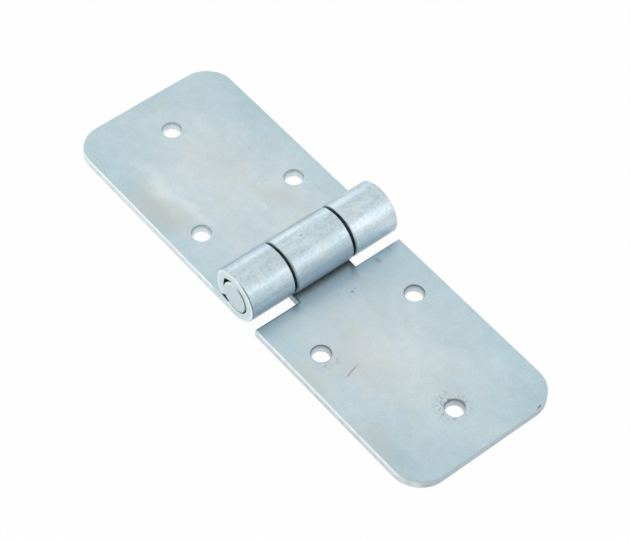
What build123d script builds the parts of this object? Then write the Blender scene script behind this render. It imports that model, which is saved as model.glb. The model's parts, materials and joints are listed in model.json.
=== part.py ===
"""Coach hinge: two punched steel leaves rolled over one loose steel pin.

The frame has X along the leaves, Y along the pin and Z up. The origin is on the
surface that the open hinge lies on, under the middle of the pin. The leaf with one
knuckle points to +X, the leaf with two knuckles to -X.
"""

import os
from math import asin, cos, degrees, radians, sin

from build123d import *

# Sheet and leaves
sheet = 2.7  # thickness of the steel
leaf_width = 51.0  # along the pin
leaf_reach = 75.25  # from the hinge axis to the end of each leaf
corner_radius = 9.0  # the two outer corners of a leaf
top_edge_roll = 0.4  # edge drawn down by the punch, on the upper face

# Screw holes
hole_diameter = 5.5
hole_rim_roll = 0.25  # rim drawn down by the punch
end_hole_inset = 14.0  # from the leaf's end to its single hole
pair_distance = 26.05  # from the hinge axis to the pair of holes
pair_spacing = 32.9  # between the holes of the pair, along the pin

# Knuckles
knuckle_bore = 10.4  # inside of the rolled sheet
middle_knuckle_width = 19.7
knuckle_gap = 0.8  # between neighbouring knuckles, along the pin
shoulder_gap = 1.2  # between a barrel and the other leaf's edge
seam_gap = 0.06  # between the rolled end and the leaf that it comes back to
knuckle_edge_round = 0.4  # outer rims of the knuckles

# Pin
pin_diameter = 9.5
pin_sink = 0.1  # how far each pin end lies inside the knuckle's end
pin_end_round = 0.45
pin_bed_gap = 0.08  # left under the pin where it lies in the bore
pin_bed_angle = 18.0  # the pin lies this far round from straight down, towards +X

# Sizes that follow from those above
bore_radius = knuckle_bore / 2
barrel_radius = bore_radius + sheet
axis_height = barrel_radius
shoulder = barrel_radius + shoulder_gap
slot_width = middle_knuckle_width + 2 * knuckle_gap
outer_knuckle_width = (leaf_width - slot_width) / 2
outer_knuckle_place = (slot_width + outer_knuckle_width) / 2
end_hole_distance = leaf_reach - end_hole_inset
pin_radius = pin_diameter / 2
pin_length = leaf_width - 2 * pin_sink


def rolled_section():
    """Side view of a leaf that points to +X: a flat run, rolled round until it meets itself."""
    tip_slope = degrees(asin((barrel_radius - sheet - seam_gap) / barrel_radius))
    turn = 270 + tip_slope
    with BuildSketch(Plane.XZ) as section:
        with BuildLine():
            outside = CenterArc((0, axis_height), barrel_radius, -90, -turn)
            inside = CenterArc((0, axis_height), bore_radius, -90, -turn)
            Line(outside @ 1, inside @ 1)
            Polyline(inside @ 0, (leaf_reach, sheet), (leaf_reach, 0), outside @ 0)
        make_face()
    return section.sketch


def blank_outline(knuckle_width, knuckle_places):
    """Plan of a leaf that points to +X: its plate with round corners and holes, and its knuckles."""
    knuckle_run = barrel_radius + shoulder
    with BuildSketch(Plane.XY) as outline:
        with Locations((shoulder, 0)):
            Rectangle(leaf_reach - shoulder, leaf_width, align=(Align.MIN, Align.CENTER))
        fillet(outline.vertices().group_by(Axis.X)[-1], corner_radius)
        with Locations([(-barrel_radius, place) for place in knuckle_places]):
            Rectangle(knuckle_run, knuckle_width, align=(Align.MIN, Align.CENTER))
        with Locations((end_hole_distance, 0)):
            Circle(hole_diameter / 2, mode=Mode.SUBTRACT)
        with Locations((pair_distance, -pair_spacing / 2), (pair_distance, pair_spacing / 2)):
            Circle(hole_diameter / 2, mode=Mode.SUBTRACT)
    return outline.sketch


def rolled_leaf(knuckle_width, knuckle_places):
    """A whole leaf that points to +X, cut to its blank's outline, with the punch's rounded edges."""
    with BuildPart() as leaf:
        extrude(rolled_section(), amount=leaf_width / 2, both=True)
        extrude(blank_outline(knuckle_width, knuckle_places), amount=2 * barrel_radius, mode=Mode.INTERSECT)
        upper_edges = leaf.edges().filter_by_position(Axis.Z, sheet, sheet)
        outer_edges = upper_edges.filter_by_position(Axis.X, shoulder, leaf_reach)
        hole_rims = outer_edges.filter_by(lambda edge: edge.is_closed)
        fillet(hole_rims, hole_rim_roll)
        fillet(outer_edges.filter_by(lambda edge: not edge.is_closed), top_edge_roll)
        knuckle_rims = leaf.edges().filter_by(
            lambda edge: edge.geom_type == GeomType.CIRCLE and abs(edge.radius - barrel_radius) < sheet / 2
        ).filter_by(lambda edge: edge.center().Z > sheet)
        fillet(knuckle_rims, knuckle_edge_round)
    return leaf.part


# The leaf whose single knuckle sits between the other leaf's two
with BuildPart() as one_knuckle_leaf:
    add(rolled_leaf(middle_knuckle_width, [0]))

# The leaf with two knuckles, turned about so that it points to -X
with BuildPart() as two_knuckle_leaf:
    add(rolled_leaf(outer_knuckle_width, [-outer_knuckle_place, outer_knuckle_place]).rotate(Axis.Z, 180))

# The plain pin, a loose fit, lying on the floor of the knuckles' bore
bed_offset = bore_radius - pin_radius - pin_bed_gap
pin_x = bed_offset * sin(radians(pin_bed_angle))
pin_z = axis_height - bed_offset * cos(radians(pin_bed_angle))
with BuildPart() as hinge_pin:
    with BuildSketch(Plane.XZ):
        with Locations((pin_x, pin_z)):
            Circle(pin_radius)
    extrude(amount=pin_length / 2, both=True)
    fillet(hinge_pin.edges().filter_by(GeomType.CIRCLE), pin_end_round)

one_knuckle_leaf.part.label = "one_knuckle_leaf"
two_knuckle_leaf.part.label = "two_knuckle_leaf"
hinge_pin.part.label = "hinge_pin"

os.makedirs("parts", exist_ok=True)
export_step(one_knuckle_leaf.part, "parts/one_knuckle_leaf.step")
export_step(two_knuckle_leaf.part, "parts/two_knuckle_leaf.step")
export_step(hinge_pin.part, "parts/hinge_pin.step")
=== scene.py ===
"""Coach hinge: two zinc plated leaves rolled over a loose steel pin, lying open on a pale studio floor."""

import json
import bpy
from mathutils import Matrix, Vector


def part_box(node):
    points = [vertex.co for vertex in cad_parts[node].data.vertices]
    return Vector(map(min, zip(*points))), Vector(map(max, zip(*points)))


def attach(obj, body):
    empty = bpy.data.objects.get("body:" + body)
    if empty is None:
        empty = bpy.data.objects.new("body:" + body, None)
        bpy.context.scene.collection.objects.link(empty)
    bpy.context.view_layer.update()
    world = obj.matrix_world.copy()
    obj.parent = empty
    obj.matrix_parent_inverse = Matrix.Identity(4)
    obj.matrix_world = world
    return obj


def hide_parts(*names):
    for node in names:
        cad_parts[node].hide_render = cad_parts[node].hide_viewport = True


bl_info = {
    "name": "Coach hinge",
    "version": (1, 0, 0),
    "blender": (4, 5, 0),
    "location": "View3D > Sidebar > Coach hinge",
    "description": "Makes the leaves, the pin and the studio of a zinc plated coach hinge",
    "category": "Add Mesh",
}

from math import asin, cos, pi, radians, sin

import bmesh
import bpy
import numpy as np
from bpy.props import FloatProperty, FloatVectorProperty, PointerProperty
from mathutils import Vector

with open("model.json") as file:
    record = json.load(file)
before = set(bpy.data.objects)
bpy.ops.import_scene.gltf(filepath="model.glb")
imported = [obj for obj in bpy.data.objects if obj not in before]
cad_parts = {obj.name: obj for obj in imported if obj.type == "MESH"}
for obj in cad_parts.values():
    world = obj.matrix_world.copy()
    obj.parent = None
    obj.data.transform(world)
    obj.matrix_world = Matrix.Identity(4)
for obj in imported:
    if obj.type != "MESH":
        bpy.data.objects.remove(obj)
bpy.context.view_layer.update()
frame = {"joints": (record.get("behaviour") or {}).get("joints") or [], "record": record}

mounts = {mount["name"]: mount for mount in frame["record"]["mounts"]}
pair_mount, end_mount = mounts["one_knuckle_leaf_pair"], mounts["one_knuckle_leaf_end_hole"]
leaf_low, leaf_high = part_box("one_knuckle_leaf")
pin_low, pin_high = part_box("hinge_pin")
axis_height = frame["joints"][0]["pos_m"][2]
leaf_end = leaf_high.x
MM = 0.001
MIRROR = np.array([1, -1])


def length(name, description, default):
    """A size that the user may change, in metres."""
    return FloatProperty(
        name=name, description=description, default=default, min=0.0, precision=5,
        unit="LENGTH", subtype="DISTANCE",
    )


def colour(name, description, default):
    """A colour that the user may change."""
    return FloatVectorProperty(
        name=name, description=description, default=default, min=0.0, max=1.0, size=3, subtype="COLOR"
    )


def amount(name, description, default, unit="NONE"):
    """A plain number, such as a lamp's power, that the user may change."""
    return FloatProperty(name=name, description=description, default=default, min=0.0, unit=unit)


class HingeSizes(bpy.types.PropertyGroup):
    """Sizes of the leaves and the pin."""

    sheet: length("Sheet", "Thickness of the rolled steel", 2.7 * MM)
    reach: length("Leaf reach", "From the hinge axis to the end of a leaf", leaf_end)
    width: length("Leaf width", "Along the pin", leaf_high.y - leaf_low.y)
    corner: length("Corner radius", "The two outer corners of a leaf", 9.0 * MM)
    barrel_radius: length("Barrel radius", "Outside of the rolled knuckles", axis_height)
    hole_radius: length("Hole radius", "The three screw holes", pair_mount["dims"]["hole_r_mm"] * MM)
    pair_distance: length("Pair distance", "From the axis to the pair of holes", pair_mount["pos_m"][0])
    pair_spacing: length("Pair spacing", "Between the two holes", pair_mount["dims"]["spacing_y_mm"] * MM)
    end_distance: length("End hole distance", "From the axis to the single hole", end_mount["pos_m"][0])
    middle_width: length("Middle knuckle", "Width of the middle knuckle", 19.7 * MM)
    knuckle_gap: length("Knuckle gap", "Between neighbouring knuckles", 0.8 * MM)
    shoulder_gap: length("Shoulder gap", "Between a barrel and the other leaf's edge", 1.2 * MM)
    seam_gap: length("Seam gap", "Between the rolled end and its own leaf", 0.06 * MM)
    roll_width: length("Edge roll width", "How far in the punch draws the upper edge down", 0.55 * MM)
    roll_depth: length("Edge roll depth", "How deep the punch draws the upper edge down", 0.35 * MM)
    rim_width: length("Rim roll width", "The same at the rims of the holes", 0.55 * MM)
    rim_depth: length("Rim roll depth", "The same at the rims of the holes", 0.36 * MM)
    hole_taper: length("Hole taper", "How much less the radius of a hole is at the leaf's back", 0.22 * MM)
    burr_bevel: length("Lower bevel", "The broken lower edge", 0.1 * MM)
    knuckle_round: length("Knuckle round", "Rims of the outer knuckles", 0.32 * MM)
    middle_round: length("Middle knuckle round", "Rims of the middle knuckle", 0.5 * MM)
    skew: length("Skew", "How far the knuckles wander sideways as they are rolled", 0.3 * MM)
    corner_round: length("Small corners", "Upright corners of the necks and shoulders", 0.3 * MM)
    kink: length("Kink", "How far the outer knuckles stand out where their last run starts straight", 0.42 * MM)
    unevenness: length("Unevenness", "Height of the ripples that rolling leaves on the knuckles", 0.012 * MM)
    flare: length("Neck flare", "How much wider the middle knuckle's neck is on its near side", 0.45 * MM)
    bed_gap: length("Bed gap", "Between the pin and the sheet where it starts to curl", 0.03 * MM)
    pin_round: length("Pin end round", "Rounded edge of the pin's ends", 0.6 * MM)


class HingeFinish(bpy.types.PropertyGroup):
    """Colours of the zinc plate and the studio."""

    zinc: colour("Zinc", "Bright zinc plate", (0.716, 0.784, 0.806))
    zinc_shade: colour("Zinc shade", "The duller, bluer areas of the plate", (0.508, 0.601, 0.64))
    edge_tint: colour("Edge tint", "Multiplies the plate's colour away from its middle", (0.774, 0.89, 0.925))
    straw: colour("Straw", "Warm tint where the passivation is thicker", (0.605, 0.565, 0.48))
    # Only put beside the barrel of the one-knuckle leaf, where it is painted shade
    blue: colour("Blue", "Blue tint where the passivation is thinner", (0.36, 0.48, 0.585))
    cut_edge: colour("Cut edge", "Plated walls of the punched edges", (0.831, 0.92, 0.952))
    # Painted shade on the walls at a leaf's end and on the neck's sides
    end_shade: colour("End tint", "Multiplies the colour of end walls and neck sides", (0.735, 0.775, 0.806))
    rolled_wall: colour("Rolled wall", "Multiplies the colour of the knuckles' end walls", (0.88, 0.925, 0.945))
    # Painted highlight on the arrises, strongest on the near side, and the colour of the light spots
    bright_edge: colour("Bright edge", "Arrises burnished by the punch", (0.90, 0.95, 0.97))
    # Painted shade on the holes' far rims, on arrises beside the barrel and at the outer end, in the gaps, on
    # the pin
    rim: colour("Hole rim", "The rims of the holes where they look darkest", (0.17, 0.225, 0.265))
    shadow: colour("Shadow blue", "Darker blue plate low on the barrel and beside it", (0.29, 0.372, 0.465))
    # Also painted shade in the seam, in the knuckle gaps and on the plate beside the barrel
    grime_and_shade: colour("Grime", "Dark specks, scratches and the dirt in the seam", (0.10, 0.115, 0.115))
    # Brown on the neck beside the middle knuckle's foot: partly dirt, partly painted shade
    dirt_and_shade: colour("Dirt", "Brown dust on the plate beside the middle knuckle", (0.4, 0.29, 0.18))
    hollow: colour("Hollow", "Unlit insides of the knuckles and their gaps", (0.42, 0.5, 0.53))
    dullness: amount("Dullness", "Roughness of the plated surface", 0.35)
    floor: colour("Floor", "The pale studio floor", (0.9, 0.9, 0.9))


class StudioSettings(bpy.types.PropertyGroup):
    """Camera and lamps."""

    camera_place: FloatVectorProperty(
        name="Camera place", description="Where the camera stands", default=(0.296077, -0.260439, 0.50602),
        unit="LENGTH", subtype="TRANSLATION",
    )
    camera_turn: FloatVectorProperty(
        name="Camera turn", description="How the camera is turned",
        default=(radians(37.8697), radians(-1.7926), radians(50.6405)), subtype="EULER",
    )
    lens: amount("Lens", "Focal length on a 36 mm wide sensor", 133.262, "CAMERA")
    side_lamp: amount("Side lamp", "Power of the soft lamp beyond the barrel", 0.45, "POWER")
    front_lamp: amount("Front lamp", "Power of the soft lamp on the near side", 0.4, "POWER")
    low_lamp: amount("Low lamp", "Power of the soft lamp low on the left", 0.4, "POWER")
    surround: amount("Surround", "Brightness of the white surround", 0.98)
    dark_side: amount("Dark side", "Brightness of the surround behind the camera", 0.45)


# How finely the surfaces are divided, and how far the walls' grids reach into the faces
MARGIN = 0.9 * MM
SUPPORT = 0.1 * MM
CORNER_STEPS = 4
ROUND_STEPS = 6
BEVEL_STEPS = 5
CURL_STEPS = 110
FLAT_STEPS = 24
EDGE_STEPS = 22
ARC_STEPS = 20
CELL_STEPS = 12
NECK_STEPS = 20
SHOULDER_STEPS = 14
SLOT_STEPS = 12
KNUCKLE_STEPS = 16
MIDDLE_STEPS = 16
PIN_STEPS = 128
PIN_END_STEPS = 11
PIN_SIDE_STEPS = 39
WELD = 0.0005 * MM
SHARP_ANGLE = radians(38)

# Ripples left by rolling: how the fine ones are stretched along the knuckle, the angles over which all of them
# start, and the shortest and longest waves
RIPPLE_STRETCH = 0.06
RIPPLE_START = (0.15, 0.6)
FINE_WAVES = (1.6 * MM, 6 * MM)
SLOW_WAVES = (7 * MM, 16 * MM)
SLOW_SHARE = 0.6

# A punched edge: where the rows of its wall lie, how its cut look fades over the bevel, and how strongly the
# painted highlight and painted shade show across its upper and lower arrises
WALL_ROWS = (0.3, 0.55, 0.8, 0.94)
CUT_FADE = (0.95, 0.65, 0.25, 0.0)
UPPER_SHINE = (0.3, 0.8, 1.0, 1.0, 0.8, 0.35)
LOWER_SHINE = (0.3, 1.0, 1.0, 0.8, 0.2)
# How much of the drawn edge is left on the curl and on the far side, how much less the bevel is at the tip, and
# how dark the painted shade on the arris is at the outer end and beside the barrel
CURL_DRAWN, FAR_DRAWN, TIP_LOSS = 0.25, 0.7, 0.7
OUTER_DARK, INNER_DARK = 0.15, 0.4

# Waves and strengths of the unevenness of the holes' rims, the drawn edges and the painted highlight on them
RIM_WAVES, RIM_VARY, RIM_SEED = (4 * MM, 12 * MM), 0.15, 31
EDGE_WAVES, EDGE_VARY, EDGE_SEED = (5 * MM, 30 * MM), 0.14, 17
SHINE_WAVES, SHINE_VARY, SHINE_SEED = (2 * MM, 9 * MM), 0.25, 23

# Where the sheet pressed up to the pin rises and sinks back, along the flat sheet
BED_RUN = (0.0, 1.0 * MM, 2.1 * MM, 2.9 * MM)
# The neck's flare: across from its side, along from the curl, and along past the shoulder
FLARE_ACROSS = (-3 * MM, 0.0, 0.5 * MM, 5 * MM)
FLARE_RISE, FLARE_FALL = 5 * MM, (1 * MM, 3 * MM)

# Over what distance the edges change: at the foot of the curl, at its tip, at the shoulder and to the near side
FOOT_FADE = 6 * MM
CURL_FADE = 4 * MM
TIP_FADE = 1.2 * MM
TIP_BEVEL_FADE = 0.6 * MM
SHOULDER_FADE = 1.5 * MM
NEAR_FADE = 10 * MM

# Where the knuckles' sides in the gaps take the rim colour as painted shade, low on the barrel, along the flat
# sheet of each leaf, and how far in from the ends a bore counts as hidden and takes the hollow colour's painted
# shade
LOW_ON_MIDDLE = (28.5 * MM, 31 * MM)
LOW_ON_OUTER = (-14 * MM, -11 * MM)
BORE_DEPTH = 1.5 * MM

# Round the pin's end: where its edge is rounded most, where it gets a painted highlight and where painted shade
WORN_SIDE, LIT_SIDE, SHADED_SIDE = radians(60), radians(170), radians(15)

# The plate's noises: lumps for each metre, detail and roughness
CLOUDS = (55, 3.0, 0.5)
HUES = (230, 3.0, 0.6)
MOTTLE = (300, 4.0, 0.6)
LUMPS = (420, 3.0, 0.6)
STREAKS = (700, 3.0, 0.6)
FROST = (1100, 3.0, 0.65)
DOTS = (1300, 2.0, 0.6)
WALL_LINES = (1500, 2.0, 0.6)
FINE = (2600, 2.0, 0.6)
STREAK_STRETCH, WALL_STRETCH = (1, 0.07, 0.0), (1, 1, 0.08)
# Between which values of the mottling a patch is patchy, and of the lumps and dots they show
PATCHY, SHOWN = (0.3, 0.65), (0.5, 0.62)
DRIFT_SCALE, DRIFT_REACH = 90, 8 * MM
SPOT_HEIGHT = 6 * MM
BUMP_HEIGHT = 0.012 * MM
WARM_CLOUDS, COOL_CLOUDS, HUE_SHIFT = (1.05, 1.0, 0.94), (0.95, 1.0, 1.06), (0.5, 0.2, 0.9)

# Which walls get painted shade: how far from a leaf's end, and how far along and across the neck
END_WALL = (2.5 * MM, 0.8 * MM)
NECK_WALL = (11 * MM, 10 * MM)
NECK_WALL_SIDE = (14 * MM, 12 * MM)

# Each soft lamp: name, place, the point that it faces, width and height
LAMPS = (
    ("side_lamp", (0.70, 0.45, 0.60), (0, 0, 0), 0.5, 0.5),
    ("front_lamp", (-0.45, -0.80, 0.45), (0, 0, 0), 0.6, 0.4),
    ("low_lamp", (-1.0, 0.45, 0.22), (0, 0, 0.01), 0.7, 0.17),
)
# How far from the camera's own direction the surround is dim, and where it is dimmest
DIM_EDGE, DIM_MIDDLE = radians(34), radians(14)
WHITE = (1.0, 1.0, 1.0)
# How much of the floor's look is its own white light, to the camera and in reflections
SEEN_WHITE, MIRRORED_WHITE = 0.95, 0.65
FLOOR_HALF = 30.0
FLOOR_DROP = 0.02 * MM


def ripples(across, along, seed, shortest, longest, count=14):
    """Sum of sine waves of set lengths and random directions and phases, scaled to about plus or minus one."""
    draw = np.random.default_rng(seed)
    wavelength = draw.uniform(shortest, longest, count)
    direction = draw.uniform(0, 2 * pi, count)
    phase = draw.uniform(0, 2 * pi, count)
    total = np.zeros(np.shape(across))
    for size, turn, start in zip(wavelength, direction, phase):
        total = total + np.sin(2 * pi * (across * cos(turn) + along * sin(turn)) / size + start)
    return total / np.sqrt(count)


def row(s, w, pull_s, pull_w):
    """One point of a blank's outline, with how it moves for each metre that the outline shrinks."""
    return np.array([s, w, pull_s, pull_w], float)


def straight(start, end, steps):
    """Straight run of outline: start plus a share of the way from start to end."""
    shares = steps if np.ndim(steps) else np.linspace(0.0, 1.0, steps + 1)
    return start + np.asarray(shares)[:, None] * (end - start)


def arc(centre, radius, first, last, steps):
    """Outer corner of a leaf: centre plus radius times (cos, sin), which shrinks towards its centre."""
    angle = np.linspace(first, last, steps + 1)
    unit = np.column_stack([np.cos(angle), np.sin(angle)])
    return np.hstack([np.array(centre) + radius * unit, -unit])


def small_corner(place, before, after, turn, radius):
    """Upright corner between two runs with inward directions before and after: a quarter circle that
    shrinks to one point. Turn is 1 where the corner sticks out and -1 where it goes in."""
    place, before, after = (np.array(v, float) for v in (place, before, after))
    centre = place + turn * radius * (before + after)
    angle = np.linspace(0.0, pi / 2, CORNER_STEPS + 1)[:, None]
    points = centre - turn * radius * (np.cos(angle) * before + np.sin(angle) * after)
    target = place + MARGIN * (before + after)
    return np.hstack([points, (target - points) / MARGIN])


def mirrored(rows):
    """The same run on the other side of the leaf's middle line, in the other direction."""
    return rows[::-1] * np.array([1, -1, 1, -1])


def inset(rows):
    """The outline moved in by the margin: point plus margin times pull."""
    return rows[:, :2] + MARGIN * rows[:, 2:]


def across(first, second, steps):
    """Grid between two runs: first plus a share of the way from first to second."""
    shares = np.linspace(0.0, 1.0, steps + 1)[None, :, None]
    return first[:, None, :] + shares * (second - first)[:, None, :]


def round_hole(loop, centre, inner, power=1.6):
    """Grid between a hole's margin and the edge of its field: centre plus inner times the unit vector to
    each edge point, blended to that point by a share raised to a power."""
    centre = np.array(centre)
    away = loop - centre
    unit = away / np.linalg.norm(away, axis=1, keepdims=True)
    ring = centre + inner * unit
    shares = (np.linspace(0.0, 1.0, CELL_STEPS + 1) ** power)[None, :, None]
    return ring[:, None, :] + shares * (loop - ring)[:, None, :], unit


def edge_profile(rows, thickness, width, depth, bevel, taper, painted_light, rim_light):
    """Section of a punched edge, from the upper face to the lower one, as distance in and height: a quarter
    of an ellipse drawn down by the punch, an upright wall and a quarter circle at the bottom, which lies out
    by the taper. Width, depth, bevel, painted light and rim light are arrays, one value for each outline point;
    painted light is the painted highlight on the drawn edge, or below 0 its painted shade, and rim light the
    painted highlight at the bottom."""
    down = np.linspace(0.0, pi / 2, ROUND_STEPS + 1)[None, :]
    width, depth, bevel = (np.asarray(v)[:, None] for v in (width, depth, bevel))
    top_in = width * (1 - np.sin(down))
    top_height = thickness - depth * (1 - np.cos(down))
    wall_shares = np.array(WALL_ROWS)[None, :]
    wall_top = thickness - depth
    wall_height = wall_top + wall_shares * (bevel - wall_top)
    wall_in = -taper * np.broadcast_to(wall_shares, wall_height.shape)
    round_down = np.linspace(0.0, pi / 2, BEVEL_STEPS + 1)[None, :]
    low_in = bevel * (1 - np.cos(round_down)) - taper
    low_height = bevel * (1 - np.sin(round_down))
    full = np.ones_like(width)
    inward = [MARGIN * full, width + SUPPORT, top_in, wall_in, low_in, bevel + SUPPORT, MARGIN * full]
    height = [thickness * full, thickness * full, top_height, wall_height, low_height, 0 * full, 0 * full]
    inward, height = np.hstack(inward), np.hstack(height)
    # The columns are margin, support, 2 to 8 drawn edge, 9 to 12 wall, 13 to 18 bevel, support and margin
    cut, arris = np.zeros_like(inward), np.zeros_like(inward)
    cut[:, 5:14] = 1.0
    cut[:, 14:18] = CUT_FADE
    arris[:, 4:10] = np.array(UPPER_SHINE) * painted_light[:, None]
    arris[:, 11:16] = np.array(LOWER_SHINE) * rim_light[:, None]
    points = rows[:, None, :2] + inward[:, :, None] * rows[:, None, 2:]
    return np.dstack([points, height]), cut, arris


def sheet_face(grid, height):
    """A flat grid of the blank at one height, with nothing of it cut."""
    plain = np.zeros(grid.shape[:2])
    return np.dstack([grid, np.full(grid.shape[:2], height)]), plain, plain


def smooth_step(value, low, high):
    """0 below low, 1 above high, and 3x2 - 2x3 of the share between them."""
    x = np.clip((value - low) / (high - low), 0.0, 1.0)
    return x * x * (3 - 2 * x)


def hump(value, start, full, fall, end):
    """0 below start, 1 from full to fall and 0 above end, with smooth steps between."""
    return smooth_step(value, start, full) * (1 - smooth_step(value, fall, end))


# How far the rolled sheet stands out from a true circle, as degrees round from the leaf and shares of the
# kink at its inside and outside, and how far it wanders sideways as shares of the skew: the outer knuckles'
# last run starts with a kink, the middle one is oval
OUTER_KNUCKLES = (
    (0, 20, 50, 80, 120, 150, 190, 204, 222, 231, 236, 242, 252, 270, 290, 311),
    (0.0, 0.0, 0.1, 0.2, 0.2, 0.12, 0.0, 0.0, 0.16, 0.66, 1.12, 0.62, 0.1, -0.5, -0.45, 0.0),
    (0.0, 0.06, 0.12, 0.1, 0.0, 0.0, 0.0, 0.1, 0.52, 0.82, 0.92, 0.84, 0.45, -0.2, -0.3, 0.0),
    (0.0, 0.0, 0.0, 0.0, 0.0, 0.0, 0.0, -0.5, -0.9, -1.0, -1.0, -1.0, -1.0, -1.0, -1.0, -1.0),
)
MIDDLE_KNUCKLE = (
    (0, 85, 105, 125, 145, 165, 240, 270, 300, 311),
    (0.0, 0.0, 0.4, 0.6, 0.4, 0.0, 0.0, 0.45, 0.5, 0.0),
    (0.0, 0.0, 0.4, 0.6, 0.4, 0.0, 0.0, 0.45, 0.5, 0.0),
    (0.0, 0.7, 0.9, 1.0, 0.9, 0.2, 0.0, 0.0, 0.0, 0.0),
)


def pin_bed(s, sizes):
    """How far the sheet is pressed up to the pin where it starts to curl: the height of the pin's lower side
    above the flat sheet less the gap, near the foot of the barrel only."""
    pin_radius = (pin_high.x - pin_low.x) / 2
    from_middle = np.minimum(np.abs(s), pin_radius)
    lower_side = (pin_high.z + pin_low.z) / 2 - np.sqrt(pin_radius**2 - from_middle**2)
    room = np.maximum(lower_side - sizes.sheet - sizes.bed_gap, 0.0)
    return room * hump(s, *BED_RUN)


def neck_flare(s, w, sizes):
    """1 at the side of the neck, or of the slot that takes it, where w is negative, falling to 0 towards its
    middle, its curl and its plate."""
    shoulder = sizes.barrel_radius + sizes.shoulder_gap
    at_side = hump(-w - sizes.middle_width / 2, *FLARE_ACROSS)
    return at_side * hump(s, 0.0, FLARE_RISE, shoulder + FLARE_FALL[0], shoulder + FLARE_FALL[1])


def roll_up(blank, sizes, seed, shape):
    """Bends a blank round the pin. A point at s, w and height h stays at x = s, z = h where s is positive.
    Elsewhere the angle is -s over the middle radius, and the point lies that far round a circle of radius
    R - h about the axis, moved out by ripples that run along the knuckle and by the shape's table, which
    also moves it sideways, less towards the end where w is negative. Beyond the middle knuckle the sheet's
    upper face is pressed up to the pin, and the neck and its slot flare out where w is negative."""
    s, w, h = blank[..., 0], blank[..., 1], blank[..., 2]
    middle = sizes.barrel_radius - sizes.sheet / 2
    angle = np.maximum(-s, 0.0) / middle
    waves = ripples(s, w * RIPPLE_STRETCH, seed, *FINE_WAVES)
    waves = waves + SLOW_SHARE * ripples(s, w, seed + 1, *SLOW_WAVES)
    uneven = sizes.unevenness * waves * smooth_step(angle, *RIPPLE_START)
    inside, outside, aside = (np.interp(np.degrees(angle), shape[0], shares) for shares in shape[1:])
    radius = sizes.barrel_radius - h + uneven + sizes.kink * (outside + (inside - outside) * h / sizes.sheet)
    bed = pin_bed(s, sizes) * (np.abs(w) > sizes.middle_width / 2)
    x = np.where(s > 0, s, -radius * np.sin(angle))
    z = np.where(s > 0, h + bed * h / sizes.sheet, sizes.barrel_radius - radius * np.cos(angle))
    w = w - sizes.flare * neck_flare(s, w, sizes)
    from_end = np.clip((sizes.width / 2 + w) / (sizes.width / 2 - sizes.middle_width / 2), 0.0, 1.0)
    return np.stack([x, w + sizes.skew * aside * from_end, z], axis=-1)


def grid_faces(shape, first):
    """Four-sided faces of a grid whose points are numbered row by row from first."""
    number = first + np.arange(shape[0] * shape[1]).reshape(shape)
    corners = [number[:-1, :-1], number[1:, :-1], number[1:, 1:], number[:-1, 1:]]
    return np.stack(corners, axis=-1).reshape(-1, 4)


def make_piece(name, points, fields, faces, material, body, replaced):
    """Joins grids into one closed mesh, with its fields on its points, and puts it on its body."""
    mesh = bpy.data.meshes.new(name)
    mesh.from_pydata(points, [], faces)
    for field, values in fields.items():
        kind = "FLOAT_VECTOR" if values.ndim == 2 else "FLOAT"
        layer = mesh.attributes.new(field, kind, "POINT")
        layer.data.foreach_set("vector" if values.ndim == 2 else "value", values.astype(np.float32).ravel())
    work = bmesh.new()
    work.from_mesh(mesh)
    bmesh.ops.remove_doubles(work, verts=work.verts, dist=WELD)
    bmesh.ops.recalc_face_normals(work, faces=work.faces)
    open_edges = sum(1 for edge in work.edges if not edge.is_manifold)
    work.to_mesh(mesh)
    work.free()
    if open_edges:
        raise RuntimeError(f"{name} isn't closed: {open_edges} open edges")
    mesh.polygons.foreach_set("use_smooth", np.ones(len(mesh.polygons), bool))
    mesh.set_sharp_from_angle(angle=SHARP_ANGLE)
    piece = bpy.data.objects.new(name, mesh)
    bpy.context.scene.collection.objects.link(piece)
    mesh.materials.append(material)
    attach(piece, body)
    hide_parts(replaced)
    return piece


def curl_shares(tip, shoulder):
    """Shares of the way from the rolled tip to the shoulder: even over the curl, and even over the flat."""
    curl = np.linspace(0.0, -tip / (shoulder - tip), CURL_STEPS + 1)
    flat = np.linspace(curl[-1], 1.0, FLAT_STEPS + 1)[1:]
    return np.concatenate([curl, flat])


def plate_outline(sizes, shoulder_end, middle):
    """Outline of half a plate from its shoulder to the middle of its end: its first run and three others."""
    half = sizes.width / 2
    bend = sizes.reach - sizes.corner
    inner_edge_end = row(middle, -half, 0, 1)
    inner_edge = straight(shoulder_end, inner_edge_end, EDGE_STEPS)
    outer_edge = straight(inner_edge_end, row(bend, -half, 0, 1), EDGE_STEPS // 2)
    corner = arc((bend, sizes.corner - half), sizes.corner, -pi / 2, 0.0, ARC_STEPS)
    end = straight(row(sizes.reach, sizes.corner - half, -1, 0), row(sizes.reach, 0, -1, 0), EDGE_STEPS // 2)
    return inner_edge, [outer_edge, corner, end]


def one_knuckle_blank(sizes, tip, shoulder, middle):
    """Half outline, strip grids and the inner side of the half plate, for the leaf with one knuckle."""
    half, neck, r = sizes.width / 2, sizes.middle_width / 2, sizes.corner_round
    tip_corner = small_corner((tip, -neck), (1, 0), (0, 1), 1, r)
    neck_corner = small_corner((shoulder, -neck), (0, 1), (1, 0), -1, r)
    shoulder_corner = small_corner((shoulder, -half), (1, 0), (0, 1), 1, r)
    inner_run, outer_side = plate_outline(sizes, shoulder_corner[-1], middle)
    tip_run = straight(row(tip, 0, 1, 0), tip_corner[0], NECK_STEPS // 2)
    side = straight(tip_corner[-1], neck_corner[0], curl_shares(tip, shoulder))
    shoulder_run = straight(neck_corner[-1], shoulder_corner[0], SHOULDER_STEPS)
    runs = [tip_run, tip_corner, side, neck_corner, shoulder_run, shoulder_corner, inner_run, *outer_side]
    strips = [across(inset(side), inset(mirrored(side))[::-1], NECK_STEPS)]
    bridge = strips[0][-1, NECK_STEPS // 2::-1]
    inner_side = [bridge, inset(shoulder_run), inset(inner_run)]
    return runs, strips, inner_side, outer_side


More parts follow.
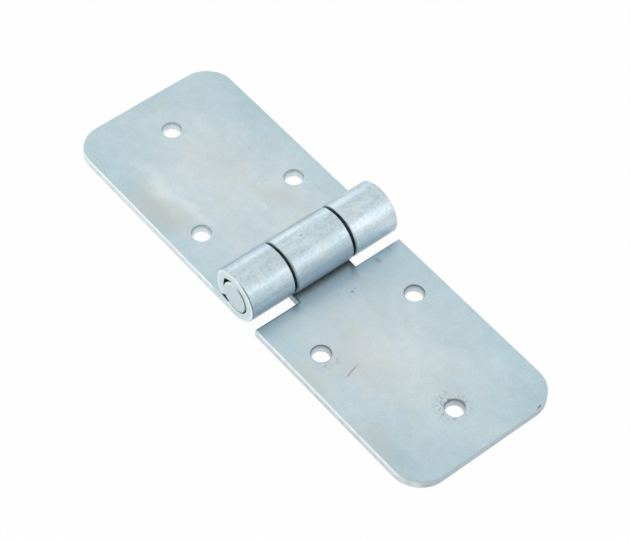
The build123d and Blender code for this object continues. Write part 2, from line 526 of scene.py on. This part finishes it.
def two_knuckle_blank(sizes, tip, shoulder, middle):
    """Half outline, strip grids and the inner side of the half plate, for the leaf with two knuckles."""
    half, r = sizes.width / 2, sizes.corner_round
    slot = sizes.middle_width / 2 + sizes.knuckle_gap
    slot_corner = small_corner((shoulder, -slot), (1, 0), (0, -1), -1, r)
    inner_corner = small_corner((tip, -slot), (0, -1), (1, 0), 1, r)
    outer_corner = small_corner((tip, -half), (1, 0), (0, 1), 1, r)
    shoulder_break = row(shoulder, -half, 1, 1)
    inner_run, outer_side = plate_outline(sizes, shoulder_break, middle)
    shares = curl_shares(tip, shoulder)
    slot_run = straight(row(shoulder, 0, 1, 0), slot_corner[0], SLOT_STEPS)
    inner_side_run = straight(slot_corner[-1], inner_corner[0], 1 - shares[::-1])
    tip_run = straight(inner_corner[-1], outer_corner[0], KNUCKLE_STEPS)
    outer_side_run = straight(outer_corner[-1], shoulder_break, shares)
    runs = [slot_run, slot_corner, inner_side_run, inner_corner, tip_run, outer_corner, outer_side_run]
    runs += [inner_run, *outer_side]
    lower = across(inset(inner_side_run)[::-1], inset(outer_side_run), KNUCKLE_STEPS)
    upper = lower * MIRROR
    inner_side = [inset(slot_run), lower[-1], inset(inner_run)]
    return runs, [lower, upper], inner_side, outer_side


def joined(parts):
    """One run from several that follow each other, without the points they share."""
    return np.vstack([parts[0]] + [part[1:] for part in parts[1:]])


# The way across a leaf, on the object, in which the painted shade on the holes' rims is darkest, and from how
# far off it
FAR_WAY = np.array([-0.88, 0.47])
RIM_SHADE = (-0.7, 0.35)


def leaf_grids(sizes, blank, side):
    """All the grids of a flat leaf: strips, three fields round holes, and the walls of outline and holes.
    Side is 1 for the leaf that points to +X and -1 for the other."""
    tip_slope = asin((sizes.barrel_radius - sizes.sheet - sizes.seam_gap) / sizes.barrel_radius)
    middle_radius = sizes.barrel_radius - sizes.sheet / 2
    tip = -(1.5 * pi + tip_slope) * middle_radius
    shoulder = sizes.barrel_radius + sizes.shoulder_gap
    middle = (sizes.pair_distance + sizes.end_distance) / 2
    runs, strips, inner_side, outer_side = blank(sizes, tip, shoulder, middle)

    centre_line = np.linspace([middle, 0.0], [shoulder + MARGIN, 0.0], EDGE_STEPS + 1)
    middle_line = np.linspace([middle, MARGIN - sizes.width / 2], [middle, 0.0], MIDDLE_STEPS + 1)
    lower_loop = joined([centre_line] + inner_side + [middle_line])
    outer_half = joined([middle_line[::-1]] + [inset(run) for run in outer_side])
    outer_loop = joined([outer_half, outer_half[::-1] * MIRROR])
    pair = np.array([sizes.pair_distance, -sizes.pair_spacing / 2])
    hole_fields = [
        (lower_loop, pair),
        (lower_loop * MIRROR, pair * MIRROR),
        (outer_loop, np.array([sizes.end_distance, 0.0])),
    ]
    grids = []
    for grid in strips:
        grids += [sheet_face(grid, sizes.sheet), sheet_face(grid, 0.0)]
    for loop, centre in hole_fields:
        grid, unit = round_hole(loop, centre, sizes.hole_radius + MARGIN)
        grids += [sheet_face(grid, sizes.sheet), sheet_face(grid, 0.0)]
        rim = np.hstack([centre + sizes.hole_radius * unit, unit])
        vary = 1 + RIM_VARY * ripples(rim[:, 0], rim[:, 1], RIM_SEED, *RIM_WAVES)
        bevel = np.full(len(rim), sizes.burr_bevel)
        # Painted shade on the far side of each hole's rim
        far_side = side * (unit @ FAR_WAY)
        painted_light = -smooth_step(far_side, *RIM_SHADE)
        width, depth = sizes.rim_width * vary, sizes.rim_depth * vary
        grids.append(edge_profile(rim, sizes.sheet, width, depth, bevel, sizes.hole_taper, painted_light, 0 * vary))
    knuckle_round = sizes.middle_round if side > 0 else sizes.knuckle_round
    for run in runs + [mirrored(run) for run in runs]:
        along = run[:, 0]
        vary = 1 + EDGE_VARY * ripples(along, run[:, 1], EDGE_SEED, *EDGE_WAVES)
        flat = smooth_step(along, 0.0, FOOT_FADE)
        near_side = smooth_step(-side * run[:, 1], 0.0, NEAR_FADE)
        drawn = (CURL_DRAWN + (1 - CURL_DRAWN) * flat) * (FAR_DRAWN + (1 - FAR_DRAWN) * near_side) * vary
        width, depth = drawn * sizes.roll_width, drawn * sizes.roll_depth
        curled = hump(-along, 0.0, CURL_FADE, -tip - TIP_FADE, -tip)
        at_tip = smooth_step(-along, -tip - TIP_BEVEL_FADE, -tip)
        bevel = sizes.burr_bevel * (1 - TIP_LOSS * at_tip) + (knuckle_round - sizes.burr_bevel) * curled
        inner = flat * (1 - smooth_step(along, shoulder, shoulder + SHOULDER_FADE))
        outer = smooth_step(along, sizes.reach - sizes.corner, sizes.reach - 0.6 * sizes.corner)
        uneven = 1 - SHINE_VARY + SHINE_VARY * ripples(along, run[:, 1], SHINE_SEED, *SHINE_WAVES)
        # Painted highlight on the near side's drawn edges; painted shade at the outer end and beside the barrel
        painted_light = flat * near_side * (1 - outer) * (1 - inner) * uneven
        painted_light = painted_light - OUTER_DARK * outer - INNER_DARK * inner
        # Painted highlight on the lower arris of the rolled edges near the leaf's ends
        rim_light = curled * (np.abs(run[:, 1]) > sizes.pair_spacing / 2)
        grids.append(edge_profile(run, sizes.sheet, width, depth, bevel, 0.0, painted_light, rim_light))
    return grids


def make_leaf(name, blank, side, shape, seed, material, body):
    """Works out the flat grids, rolls them up, turns the leaf about if it points to -X, and makes the piece.
    Its points keep their place on the flat sheet, how much of them is cut wall, how bright the painted
    highlight on their arris is (below 0, how dark its painted shade), and whether they lie in the painted shade
    inside a knuckle or a gap."""
    sizes = bpy.context.scene.hinge_sizes
    grids, cuts, arrises = zip(*leaf_grids(sizes, blank, side))
    first = np.cumsum([0] + [cut.size for cut in cuts])
    faces = np.vstack([grid_faces(cut.shape, start) for cut, start in zip(cuts, first)])
    sheet_place = np.vstack([grid.reshape(-1, 3) for grid in grids])
    cut, arris = (np.concatenate([values.ravel() for values in field]) for field in (cuts, arrises))
    points = roll_up(sheet_place, sizes, seed, shape) * np.array([side, side, 1])
    s, w, h = sheet_place.T
    # Walls in the knuckle gaps and bores deep in the knuckles take the hollow colour as painted shade
    in_gap = (s < 0) & (np.abs(w) < sizes.middle_width / 2 + 2 * sizes.knuckle_gap)
    deep = np.abs(w) < sizes.width / 2 - BORE_DEPTH
    in_bore = (cut == 0) & (s < -sizes.barrel_radius) & (h > 0.98 * sizes.sheet) & deep
    hidden = np.where(in_gap, np.maximum(cut, in_bore), in_bore)
    # Low on the barrel the gap walls take the rim colour as painted shade instead
    low_on_barrel = smooth_step(-s, *LOW_ON_MIDDLE) if side > 0 else smooth_step(s, *LOW_ON_OUTER)
    arris = np.where(in_gap, np.minimum(arris, -cut * low_on_barrel), arris)
    hidden = hidden * np.where(in_gap, 1 - low_on_barrel, 1.0)
    fields = {"sheet_place": sheet_place, "cut": cut, "arris": arris, "hidden": hidden}
    return make_piece(name, points, fields, faces, material, body, name)


def make_pin(material):
    """Turns a profile about the pin's line: flat end faces, a straight side and, between them, quarter circles
    whose radius varies round the pin."""
    sizes = bpy.context.scene.hinge_sizes
    radius = (pin_high.x - pin_low.x) / 2
    half = (pin_high.y - pin_low.y) / 2
    centre_x = (pin_high.x + pin_low.x) / 2
    centre_z = (pin_high.z + pin_low.z) / 2
    angle = np.linspace(0.0, 2 * pi, PIN_STEPS + 1)
    angle[-1] = 0.0
    worn = 0.2 + 0.8 * smooth_step(np.cos(angle - WORN_SIDE), -0.5, 0.4)
    rounding = sizes.pin_round * worn[:, None]
    quarter = np.linspace(0.0, pi / 2, ROUND_STEPS + 1)[None, 1:]
    flat_r = np.linspace(0.0, 1.0, PIN_END_STEPS + 1)[None, :] * (radius - rounding)
    edge_r = radius - rounding * (1 - np.sin(quarter))
    edge_y = half - rounding * (1 - np.cos(quarter))
    end_r = np.hstack([flat_r, edge_r])
    end_y = np.hstack([np.full(flat_r.shape, half), edge_y])
    side_y = np.linspace(1.0, -1.0, PIN_SIDE_STEPS + 1)[None, 1:-1] * (half - rounding)
    profile_r = np.hstack([end_r, np.full(side_y.shape, radius), end_r[:, ::-1]])
    y = np.hstack([end_y, side_y, -end_y[:, ::-1]])
    x = centre_x + profile_r * np.cos(angle)[:, None]
    z = centre_z + profile_r * np.sin(angle)[:, None]
    points = np.stack([x, y, z], axis=-1)
    place = np.stack([x - centre_x - sizes.barrel_radius, y, z - centre_z], axis=-1)
    inside = (np.abs(y) < half - 1.5 * sizes.pin_round).astype(float)
    end_face = np.abs(y) > half - 0.02 * rounding
    on_rounding = ~end_face & (inside == 0)
    # Painted highlight on the rounded edge's left side and painted shade on its right side
    pale, dark = np.cos(angle - LIT_SIDE), np.cos(angle - SHADED_SIDE)
    tint = 0.8 * smooth_step(pale, 0.1, 0.7) - smooth_step(dark, 0.2, 0.8)
    fields = {
        "sheet_place": place.reshape(-1, 3), "cut": end_face.astype(float).ravel(),
        "arris": (tint[:, None] * on_rounding).ravel(), "hidden": inside.ravel(),
    }
    name, body = "hinge_pin", "two_knuckle_side"
    return make_piece(name, points.reshape(-1, 3), fields, grid_faces(x.shape, 0), material, body, name)


def fill(tree, node, inputs):
    """Links each of a node's inputs to another node's output, or gives it a plain value or colour."""
    for name, value in inputs.items():
        socket = node.inputs[name]
        if isinstance(value, bpy.types.NodeSocket):
            tree.links.new(value, socket)
        else:
            socket.default_value = (*value, 1.0) if socket.type == "RGBA" else value
    return node


def add_node(tree, kind, inputs=None, **settings):
    """A new node with its settings and its inputs."""
    node = tree.nodes.new(kind)
    for name, value in settings.items():
        setattr(node, name, value)
    return fill(tree, node, inputs or {})


def calculate(tree, operation, first, second=0.0, clamp=False):
    """One sum in the nodes."""
    inputs = {0: first, 1: second}
    return add_node(tree, "ShaderNodeMath", inputs, operation=operation, use_clamp=clamp).outputs[0]


def times(tree, first, second):
    """Product of two values in the nodes."""
    return calculate(tree, "MULTIPLY", first, second)


def plus(tree, first, second):
    """Sum of two values in the nodes."""
    return calculate(tree, "ADD", first, second)


def with_shares(tree, start, parts):
    """Start plus each part times its share."""
    for part, share in parts:
        start = plus(tree, start, times(tree, part, share))
    return start


def point_field(tree, name, output="Fac"):
    """A field that the points keep."""
    return add_node(tree, "ShaderNodeAttribute", attribute_name=name).outputs[output]


def between(tree, value, low, high, to_low=0.0, to_high=1.0):
    """Moves a value from one range to another, without leaving it."""
    inputs = dict(enumerate((value, low, high, to_low, to_high)))
    return add_node(tree, "ShaderNodeMapRange", inputs, clamp=True).outputs[0]


def grain(tree, vector, scale, detail, rough, stretch=(1, 1, 1), shift=(0, 0, 0)):
    """Noise from 0 to 1 whose coarsest lumps are about 1 / scale metres, stretched and shifted."""
    placed = add_node(tree, "ShaderNodeMapping", {"Vector": vector, "Location": shift, "Scale": stretch})
    inputs = {"Vector": placed.outputs[0], "Scale": scale, "Detail": detail, "Roughness": rough}
    return add_node(tree, "ShaderNodeTexNoise", inputs).outputs["Fac"]


def spot(tree, vector, place, reach, turn=0.0):
    """1 at a place, falling smoothly to 0 at the edge of an ellipsoid round it, turned about the upright."""
    inputs = {"Vector": vector, "Location": place, "Rotation": (0, 0, turn), "Scale": reach}
    placed = add_node(tree, "ShaderNodeMapping", inputs, vector_type="TEXTURE")
    ball = add_node(tree, "ShaderNodeTexGradient", {"Vector": placed.outputs[0]}, gradient_type="SPHERICAL")
    inputs = {"Value": ball.outputs["Fac"]}
    return add_node(tree, "ShaderNodeMapRange", inputs, interpolation_type="SMOOTHSTEP").outputs[0]


def blend_colour(tree, factor, first, second, mode="MIX"):
    """Mixes two colours by a factor."""
    inputs = {"Factor": factor, 6: first, 7: second}
    return add_node(tree, "ShaderNodeMix", inputs, data_type="RGBA", blend_type=mode).outputs[2]


def spots_sum(tree, vector, spots):
    """Sum of several spots, each x, y, z, reach in x and y, turn and strength, in millimetres and degrees."""
    total = 0.0
    for x, y, z, reach_x, reach_y, turn, strength in spots:
        place, reach = (x * MM, y * MM, z * MM), (reach_x * MM, reach_y * MM, SPOT_HEIGHT)
        total = plus(tree, times(tree, spot(tree, vector, place, reach, radians(turn)), strength), total)
    return total


def band(tree, value, low, high, soft):
    """1 between low and high, falling to 0 over the soft distance on each side, all in millimetres."""
    rise = between(tree, value, (low - soft) * MM, low * MM)
    fall = between(tree, value, high * MM, (high + soft) * MM, 1.0, 0.0)
    return times(tree, rise, fall)


def centred(tree, value):
    """A noise value measured from its middle, so that it lightens as much as it darkens."""
    return calculate(tree, "SUBTRACT", value, 0.5)


def drifted(tree, vector, scale, reach):
    """The same place moved by a slow noise, so that a patch laid there gets an uneven edge."""
    wander = add_node(tree, "ShaderNodeTexNoise", {"Vector": vector, "Scale": scale, "Detail": 3})
    inputs = {0: wander.outputs["Color"], 1: (2 * reach, 2 * reach, 0.0), 2: vector}
    moved = add_node(tree, "ShaderNodeVectorMath", inputs, operation="MULTIPLY_ADD")
    inputs = {0: moved.outputs[0], 1: (reach, reach, 0.0)}
    return add_node(tree, "ShaderNodeVectorMath", inputs, operation="SUBTRACT").outputs[0]


def plated_steel(
    name, seed, pale=(), light=(), straw_spots=(), blue_shade_spots=(), bands=(), marks=(), speckled=(), wall=1, rim=1
):
    """Bright zinc plate: clouds, mottling and fine grain in its colour, paler and lighter areas, straw and blue
    tints where they are named (the leaves use a lighter spot as a painted highlight and the blue as painted
    shade), frosty mottling on the rolled part, plainer punched walls with painted shade at ends and necks,
    painted highlight and painted shade on the arrises, painted shade on hidden insides, and specks and
    scratches. Each band is a colour, a strength, and where it lies on the flat sheet: low, high and soft edge
    along it and, where it doesn't go right across, the same across it; most bands are painted shade. Wall is
    how light the walls are and rim how dark the painted shade on the arrises."""
    finish = bpy.context.scene.hinge_finish
    material = bpy.data.materials.new(name)
    material.use_nodes = True
    tree = material.node_tree
    shader = tree.nodes["Principled BSDF"]
    place = add_node(tree, "ShaderNodeTexCoord").outputs["Object"]
    sheet_place = point_field(tree, "sheet_place", "Vector")
    cut, arris, hidden = (point_field(tree, name) for name in ("cut", "arris", "hidden"))
    shift = (0.37 * seed, 0.21 * seed, 0.13 * seed)

    clouds = grain(tree, place, *CLOUDS, shift=shift)
    mottle = grain(tree, place, *MOTTLE, shift=shift)
    frost = grain(tree, place, *FROST, shift=shift)
    fine = grain(tree, place, *FINE, shift=shift)
    streaks = grain(tree, sheet_place, *STREAKS, stretch=STREAK_STRETCH, shift=shift)
    along, across_leaf, up = add_node(tree, "ShaderNodeSeparateXYZ", {0: sheet_place}).outputs
    rolled = between(tree, along, -1 * MM, -5 * MM)
    flat = calculate(tree, "SUBTRACT", 1.0, rolled)

    mottled = times(tree, centred(tree, mottle), between(tree, rolled, 0.0, 1.0, 0.45, 0.6))
    frosty = times(tree, centred(tree, frost), between(tree, rolled, 0.0, 1.0, 0.3, 1.25))
    streaked = times(tree, centred(tree, streaks), rolled)
    parts = ((clouds, 0.55), (centred(tree, fine), 0.7), (frosty, 1.0), (streaked, 1.15))
    tone = with_shares(tree, plus(tree, mottled, 0.225), parts)
    base = blend_colour(tree, between(tree, tone, 0.2, 0.8), finish.zinc_shade, finish.zinc)
    hue = between(tree, grain(tree, place, *HUES, shift=HUE_SHIFT), 0.3, 0.7)
    hue = blend_colour(tree, hue, WARM_CLOUDS, COOL_CLOUDS)
    base = blend_colour(tree, between(tree, rolled, 0.0, 1.0, 0.45, 0.5), base, hue, "MULTIPLY")

    patch_place = drifted(tree, place, DRIFT_SCALE, DRIFT_REACH)
    paler = calculate(tree, "MAXIMUM", spots_sum(tree, patch_place, pale), times(tree, rolled, 0.5))
    duller = calculate(tree, "SUBTRACT", 1.0, paler, clamp=True)
    base = blend_colour(tree, duller, base, finish.edge_tint, "MULTIPLY")
    # Light spots: lighter patches of plate, and painted highlight where a leaf puts one on a knuckle
    base = blend_colour(tree, spots_sum(tree, patch_place, light), base, finish.bright_edge)
    mottled_straw = between(tree, mottle, *PATCHY, 0.6, 1.0)
    straw = times(tree, spots_sum(tree, patch_place, straw_spots), mottled_straw)
    base = blend_colour(tree, calculate(tree, "MINIMUM", straw, 1.0), base, finish.straw)
    # The blue spots are painted shade where the one-knuckle leaf puts them, beside its barrel
    blue = spots_sum(tree, patch_place, blue_shade_spots)
    base = blend_colour(tree, calculate(tree, "MINIMUM", blue, 1.0), base, finish.blue)
    ragged = between(tree, mottle, *PATCHY, 0.8, 1.0)
    for tint, strength, along_band, *across_bands in bands:
        mask = times(tree, band(tree, along, *along_band), strength)
        for across_band in across_bands:
            mask = times(tree, mask, band(tree, across_leaf, *across_band))
        mask = times(tree, mask, ragged)
        base = blend_colour(tree, mask, base, tint)

    wall_lines = grain(tree, sheet_place, *WALL_LINES, stretch=WALL_STRETCH)
    wall_tone = between(tree, wall_lines, 0.3, 0.7, 0.9, 1.0)
    wall_colour = [wall * part for part in finish.cut_edge]
    walls = blend_colour(tree, 1.0, wall_colour, wall_tone, "MULTIPLY")
    # Painted shade on the walls at a leaf's end and on the neck's sides
    at_end = between(tree, along, leaf_end - END_WALL[0], leaf_end - END_WALL[1])
    from_middle = calculate(tree, "ABSOLUTE", across_leaf)
    at_neck = times(tree, between(tree, along, *NECK_WALL), between(tree, from_middle, *NECK_WALL_SIDE))
    at_end = calculate(tree, "MAXIMUM", at_end, at_neck)
    walls = blend_colour(tree, at_end, walls, finish.end_shade, "MULTIPLY")
    lumps = between(tree, grain(tree, sheet_place, *LUMPS, shift=shift), *SHOWN)
    torn = times(tree, times(tree, band(tree, up, 0.9, 1.4, 0.4), lumps), 0.22)
    walls = blend_colour(tree, times(tree, torn, flat), walls, finish.grime_and_shade)
    walls = blend_colour(tree, rolled, walls, finish.rolled_wall, "MULTIPLY")
    base = blend_colour(tree, cut, base, walls)
    # Arris above 0: painted highlight; below 0: painted shade in the rim colour, as strong as rim says
    base = blend_colour(tree, calculate(tree, "MAXIMUM", arris, 0.0), base, finish.bright_edge)
    dark_rim = calculate(tree, "MAXIMUM", times(tree, arris, -rim), 0.0)
    base = blend_colour(tree, dark_rim, base, finish.rim)

    dots = between(tree, grain(tree, place, *DOTS, shift=shift), *SHOWN, 0.0, 0.75)
    dotted = times(tree, spots_sum(tree, place, speckled), dots)
    dark = plus(tree, spots_sum(tree, place, marks), dotted)
    dark = times(tree, dark, calculate(tree, "SUBTRACT", 1.0, times(tree, cut, 0.7)))
    speck = calculate(tree, "MULTIPLY", dark, between(tree, fine, 0.3, 0.6, 0.6, 1.0), clamp=True)
    base = blend_colour(tree, speck, base, finish.grime_and_shade)
    base = blend_colour(tree, hidden, base, finish.hollow)

    rough = with_shares(tree, finish.dullness - 0.08, ((mottle, 0.16), (cut, 0.08), (speck, 0.3)))
    parts = ((fine, 0.35), (streaked, 1.0), (frosty, 0.4), (times(tree, wall_lines, cut), 3.0), (speck, -2.0))
    height = with_shares(tree, mottle, parts)
    bump = add_node(tree, "ShaderNodeBump", {"Strength": 1.0, "Distance": BUMP_HEIGHT, "Height": height})
    fill(tree, shader, {"Metallic": 1.0, "Base Color": base, "Roughness": rough, "Normal": bump.outputs[0]})
    return material


class HINGE_OT_two_knuckle_leaf(bpy.types.Operator):
    """Make the leaf with two knuckles, which points to -X"""

    bl_idname = "hinge.two_knuckle_leaf"
    bl_label = "Two-knuckle leaf"

    def execute(self, context):
        finish = context.scene.hinge_finish
        pale = [(-35, 0, 3, 69, 36, 0, 1)]
        # The light spots are lighter patches of plate; the last one, on the far knuckle, is a painted highlight
        light = [(-42, -13.2, 3, 27, 3.0, 6, 0.28), (-21.5, 1.5, 3, 3, 2.5, 0, 0.25)]
        light += [(-13, 8, 3, 7, 22, 0, 0.14), (7, 18, 12, 4, 8, 0, 0.3)]
        straw = [(-40.5, -19, 3, 18, 8, 6, 0.55), (-22, 9.5, 3, 15, 5, 10, 0.42), (-42, 5, 3, 22, 10, 0, 0.15)]
        # Mostly painted shade: low on the knuckles, at the near knuckle's outline, over the highlight, by the
        # barrel, in the gap
        bands = [
            (finish.shadow, 0.52, (-10.5, -4, 4), (9, 26, 2)),
            (finish.shadow, 0.3, (-9, -4, 3), (-26, -9, 2)),
            (finish.shadow, 0.75, (-28.5, -26.4, 1.1), (9, 26, 1)),
            (finish.shadow, 0.2, (-25.5, -21.5, 1.3)),
            (finish.shadow, 0.14, (33, 52, 4), (20.5, 25, 2)),
            (finish.grime_and_shade, 0.32, (5, 12.3, 1.1), (-11, 19.5, 3)),
            (finish.grime_and_shade, 0.8, (-16, -13, 3.5), (25.15, 25.4, 0.22)),
            (finish.grime_and_shade, 0.5, (-13, -4, 3), (-10.9, -10.6, 0.35)),
        ]
        material = plated_steel("zinc_two_knuckle_leaf", 1, pale, light, straw, (), bands, rim=0.7)
        make_leaf("two_knuckle_leaf", two_knuckle_blank, -1, OUTER_KNUCKLES, 5, material, "two_knuckle_side")
        return {"FINISHED"}


class HINGE_OT_one_knuckle_leaf(bpy.types.Operator):
    """Make the leaf with one knuckle, which points to +X"""

    bl_idname = "hinge.one_knuckle_leaf"
    bl_label = "One-knuckle leaf"

    def execute(self, context):
        finish = context.scene.hinge_finish
        pale = [(38, -3, 3, 48, 36, 0, 1)]
        straw = [(33, -9, 3, 17, 10, 0, 0.35), (31, -23, 3, 10, 6, 0, 0.45), (57, -24, 3, 15, 6, 0, 0.35)]
        straw += [(60, 0, 3, 6, 6, 0, 0.35)]
        # Blue spots beside the barrel: painted shade
        blue = [(12, -20, 3, 10, 10, 0, 0.15), (13, 0, 3, 9, 18, 0, 0.2)]
        # Mostly painted shade: low on the knuckle, on its outline, beside it on the neck, in the seam and at
        # the gap
        bands = [
            (finish.shadow, 0.75, (-31.2, -30.2, 4.2)),
            (finish.shadow, 0.75, (-14.8, -12.5, 1.1)),
            (finish.shadow, 0.13, (56, 70, 6), (-25, -20.5, 2)),
            (finish.shadow, 0.35, (7.5, 8.6, 3.8)),
            (finish.dirt_and_shade, 0.4, (7.4, 8.2, 1.3)),
            (finish.grime_and_shade, 0.85, (5.5, 6.9, 1.8), (-9.8, 9.8, 0.1)),
            (finish.grime_and_shade, 0.5, (-37, -26, 3), (-9.9, -9.6, 0.4)),
        ]
        marks = [
            (35.36, -13.2, 2.7, 3.6, 0.45, -75, 0.55),
            (36.0, -15.2, 2.7, 1.2, 0.4, -75, 0.4),
            (15.3, 3.4, 2.7, 0.8, 0.5, 30, 0.7),
            (11.3, 15.8, 2.7, 1.9, 1.3, 0, 0.4),
            (74.7, 17.7, 2.5, 1.5, 0.4, -75, 0.9),
            (-0.7, -2.2, 15.8, 1.1, 0.5, 70, 0.5),
        ]
        speckled = [(60.5, -0.3, 2.7, 6.6, 6.6, 0, 1.3), (28, -16.5, 2.7, 5.5, 5.5, 0, 0.6)]
        speckled += [(14, 6, 2.7, 8, 20, 0, 0.08)]
        material = plated_steel(
            "zinc_one_knuckle_leaf", 2, pale, (), straw, blue, bands, marks, speckled, wall=0.87
        )
        make_leaf("one_knuckle_leaf", one_knuckle_blank, 1, MIDDLE_KNUCKLE, 9, material, "one_knuckle_side")
        return {"FINISHED"}


class HINGE_OT_pin(bpy.types.Operator):
    """Make the plain pin"""

    bl_idname = "hinge.pin"
    bl_label = "Pin"

    def execute(self, context):
        material = plated_steel("zinc_pin", 3, [(0, -25.4, 8, 20, 30, 0, 4)], wall=0.93, rim=0.9)
        make_pin(material)
        return {"FINISHED"}


def soft_lamp(name, place, target, width, height, power):
    """A large area lamp that shines from its place to its target."""
    data = bpy.data.lights.new(name, "AREA")
    data.shape = "RECTANGLE"
    data.size = width
    data.size_y = height
    data.energy = power
    lamp = bpy.data.objects.new(name, data)
    lamp.location = place
    lamp.rotation_euler = (Vector(target) - Vector(place)).to_track_quat("-Z", "Y").to_euler()
    lamp.visible_camera = False
    bpy.context.scene.collection.objects.link(lamp)


class HINGE_OT_studio(bpy.types.Operator):
    """Make the floor, the lamps, the surround and the camera"""

    bl_idname = "hinge.studio"
    bl_label = "Studio"

    def execute(self, context):
        scene = context.scene
        studio, finish = scene.hinge_studio, scene.hinge_finish

        corners = np.array([[-1, -1], [1, -1], [1, 1], [-1, 1]]) * FLOOR_HALF
        mesh = bpy.data.meshes.new("floor")
        mesh.from_pydata(np.column_stack([corners, np.full(4, -FLOOR_DROP)]), [], [(0, 1, 2, 3)])
        floor = bpy.data.objects.new("floor", mesh)
        scene.collection.objects.link(floor)
        paint = bpy.data.materials.new("floor_paper")
        paint.use_nodes = True
        tree = paint.node_tree
        tree.nodes.clear()
        paper = add_node(tree, "ShaderNodeBsdfDiffuse", {"Color": finish.floor})
        path = add_node(tree, "ShaderNodeLightPath")
        seen = times(tree, path.outputs["Is Camera Ray"], SEEN_WHITE)
        mirrored = times(tree, path.outputs["Is Glossy Ray"], MIRRORED_WHITE)
        glow = add_node(tree, "ShaderNodeEmission", {"Color": WHITE})
        inputs = {0: calculate(tree, "MAXIMUM", seen, mirrored), 1: paper.outputs[0], 2: glow.outputs[0]}
        floor_look = add_node(tree, "ShaderNodeMixShader", inputs)
        add_node(tree, "ShaderNodeOutputMaterial", {"Surface": floor_look.outputs[0]})
        mesh.materials.append(paint)

        world = bpy.data.worlds.new("surround")
        scene.world = world
        world.use_nodes = True
        tree = world.node_tree
        tree.nodes.clear()
        direction = add_node(tree, "ShaderNodeTexCoord").outputs["Generated"]
        inputs = {0: direction, 1: Vector(studio.camera_place).normalized()}
        facing = add_node(tree, "ShaderNodeVectorMath", inputs, operation="DOT_PRODUCT").outputs["Value"]
        level = between(tree, facing, cos(DIM_EDGE), cos(DIM_MIDDLE), studio.surround, studio.dark_side)
        sky = add_node(tree, "ShaderNodeBackground", {"Color": WHITE, "Strength": level})
        seen = add_node(tree, "ShaderNodeBackground", {"Color": WHITE})
        path = add_node(tree, "ShaderNodeLightPath")
        inputs = {0: path.outputs["Is Camera Ray"], 1: sky.outputs[0], 2: seen.outputs[0]}
        mixed = add_node(tree, "ShaderNodeMixShader", inputs)
        add_node(tree, "ShaderNodeOutputWorld", {"Surface": mixed.outputs[0]})

        for name, place, target, width, height in LAMPS:
            soft_lamp(name, place, target, width, height, getattr(studio, name))

        data = bpy.data.cameras.new("camera")
        data.lens = studio.lens
        data.sensor_width = 36.0
        data.clip_start = 0.01
        camera = bpy.data.objects.new("camera", data)
        camera.location = studio.camera_place
        camera.rotation_euler = studio.camera_turn
        scene.collection.objects.link(camera)
        scene.camera = camera
        scene.view_settings.view_transform = "Standard"
        return {"FINISHED"}


class HINGE_PT_makers(bpy.types.Panel):
    """Lists the pieces of the hinge and the studio"""

    bl_idname = "HINGE_PT_makers"
    bl_label = "Coach hinge"
    bl_space_type = "VIEW_3D"
    bl_region_type = "UI"
    bl_category = "Coach hinge"

    def draw(self, context):
        layout = self.layout
        for maker in MAKERS:
            layout.operator(maker.bl_idname)
        for settings in (context.scene.hinge_sizes, context.scene.hinge_finish, context.scene.hinge_studio):
            box = layout.box()
            for name in settings.__annotations__:
                box.prop(settings, name)


MAKERS = (HINGE_OT_two_knuckle_leaf, HINGE_OT_one_knuckle_leaf, HINGE_OT_pin, HINGE_OT_studio)
SETTINGS = {"hinge_sizes": HingeSizes, "hinge_finish": HingeFinish, "hinge_studio": StudioSettings}
CLASSES = (*SETTINGS.values(), *MAKERS, HINGE_PT_makers)


def register():
    for kind in CLASSES:
        bpy.utils.register_class(kind)
    for name, kind in SETTINGS.items():
        setattr(bpy.types.Scene, name, PointerProperty(type=kind))


def unregister():
    for name in SETTINGS:
        delattr(bpy.types.Scene, name)
    for kind in reversed(CLASSES):
        bpy.utils.unregister_class(kind)


def main():
    register()
    bpy.ops.hinge.studio()
    bpy.ops.hinge.two_knuckle_leaf()
    bpy.ops.hinge.one_knuckle_leaf()
    bpy.ops.hinge.pin()


if __name__ == "__main__":
    main()
